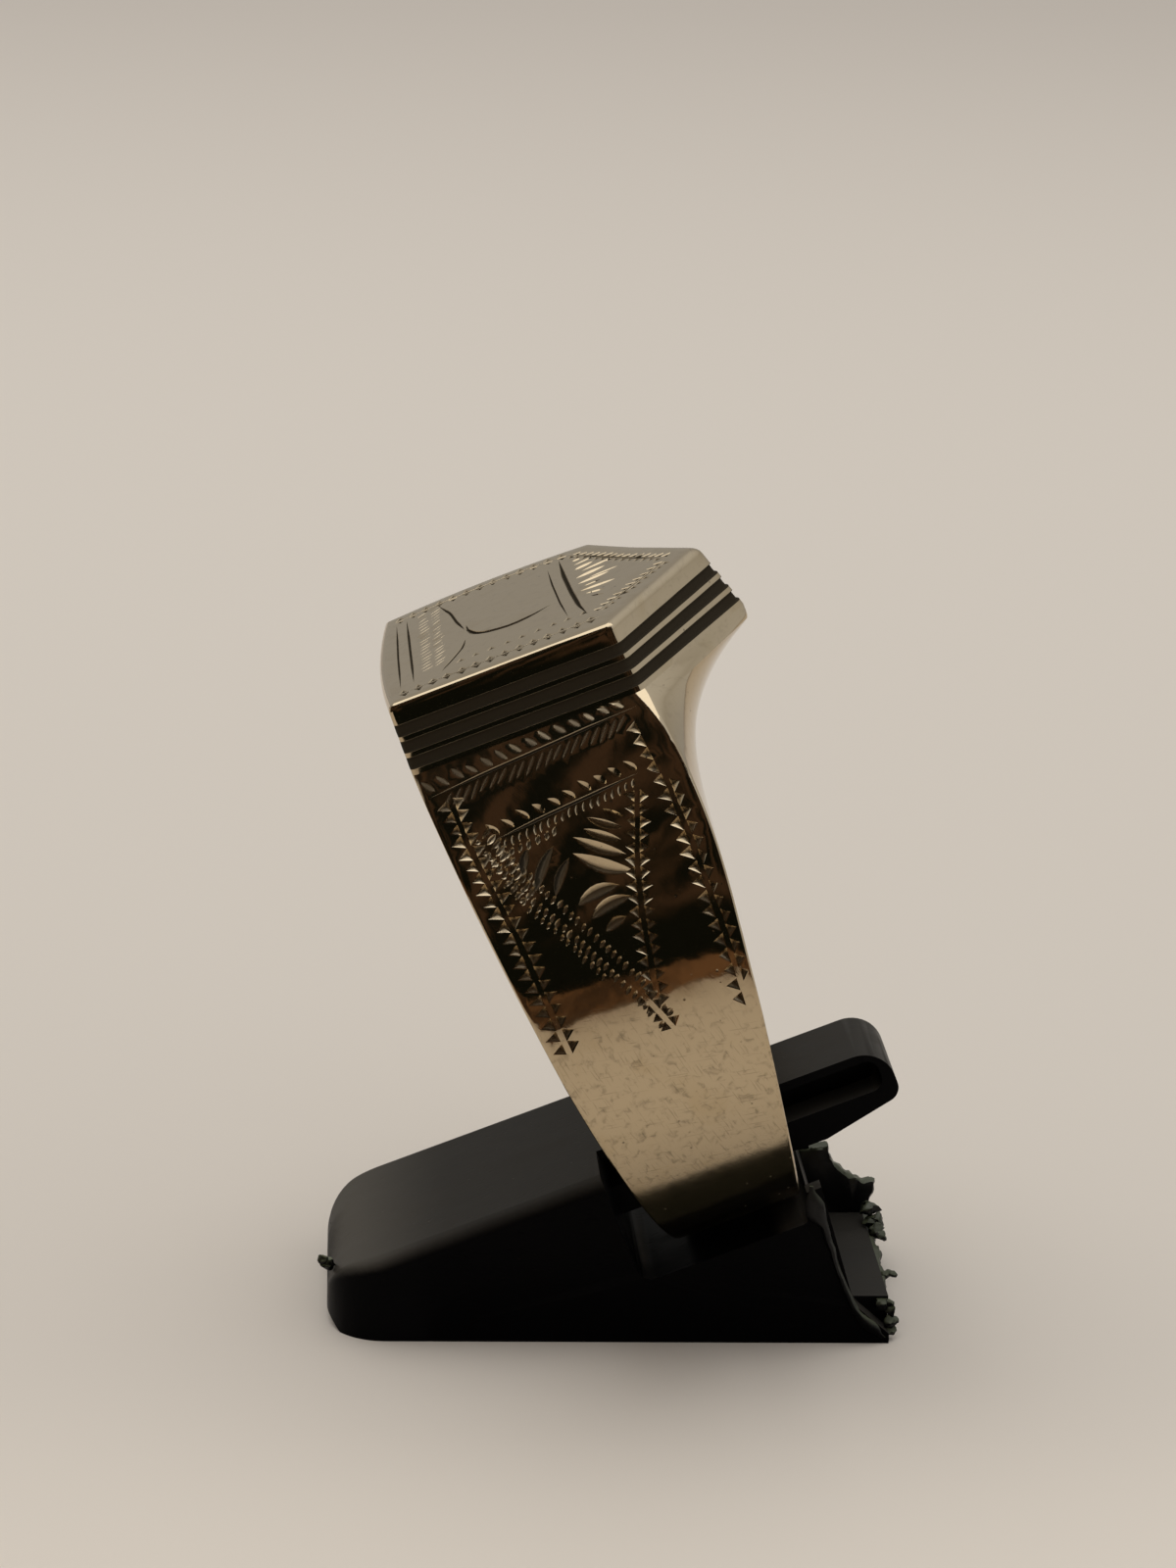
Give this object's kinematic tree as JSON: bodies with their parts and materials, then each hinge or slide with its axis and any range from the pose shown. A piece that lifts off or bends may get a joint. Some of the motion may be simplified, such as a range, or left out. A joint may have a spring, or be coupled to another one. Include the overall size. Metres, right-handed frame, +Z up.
{
  "type": "signet ring on a display stand",
  "caption": "Heavy signet ring with a shield-shaped head and engraved shoulders, leaning in a small moulded clip stand.",
  "frame": {"origin": "middle of the outline at the surface that the stand rests on", "axes": "+Z up; +X along the stand from its low nose towards the end of the tongue; +Y across the stand, away from the viewer of the picture"},
  "size_m": [0.0218, 0.0216, 0.0302],
  "materials": {
    "gold": "worn pale yellow gold, polished with fine scratches, darkened in the cuts",
    "black_plastic": "black moulded plastic, satin to gloss, lightly scuffed"
  },
  "bodies": {
    "root": {"signet_ring": "gold", "ring_stand": "black_plastic"}
  },
  "joints": []
}
